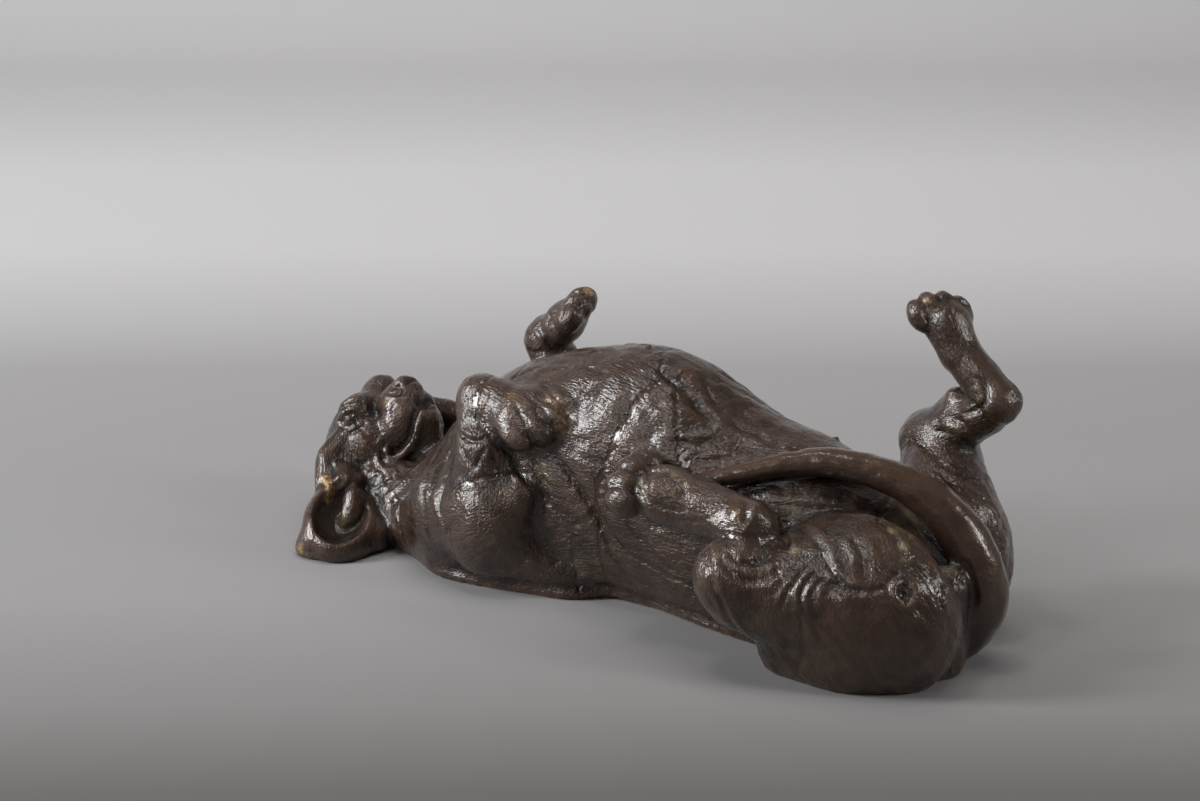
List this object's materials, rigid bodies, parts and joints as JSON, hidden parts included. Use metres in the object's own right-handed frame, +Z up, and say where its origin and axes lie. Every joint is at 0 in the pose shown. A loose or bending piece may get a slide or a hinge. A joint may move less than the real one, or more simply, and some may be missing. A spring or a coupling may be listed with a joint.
{
  "type": "dog figurine",
  "caption": "Cast bronze figurine of a puppy asleep on its back, legs folded and tail over its belly, that rests on a flat underside.",
  "frame": {"origin": "middle of the figure's box, on the surface that it rests on", "axes": "+X from head to rump, +Y to the puppy's left, +Z up, the way its belly faces"},
  "size_m": [0.4, 0.1642, 0.1564],
  "materials": {
    "bronze": "dark brown patina, waxed to a gloss"
  },
  "bodies": {
    "root": {"puppy": "bronze"}
  },
  "joints": []
}
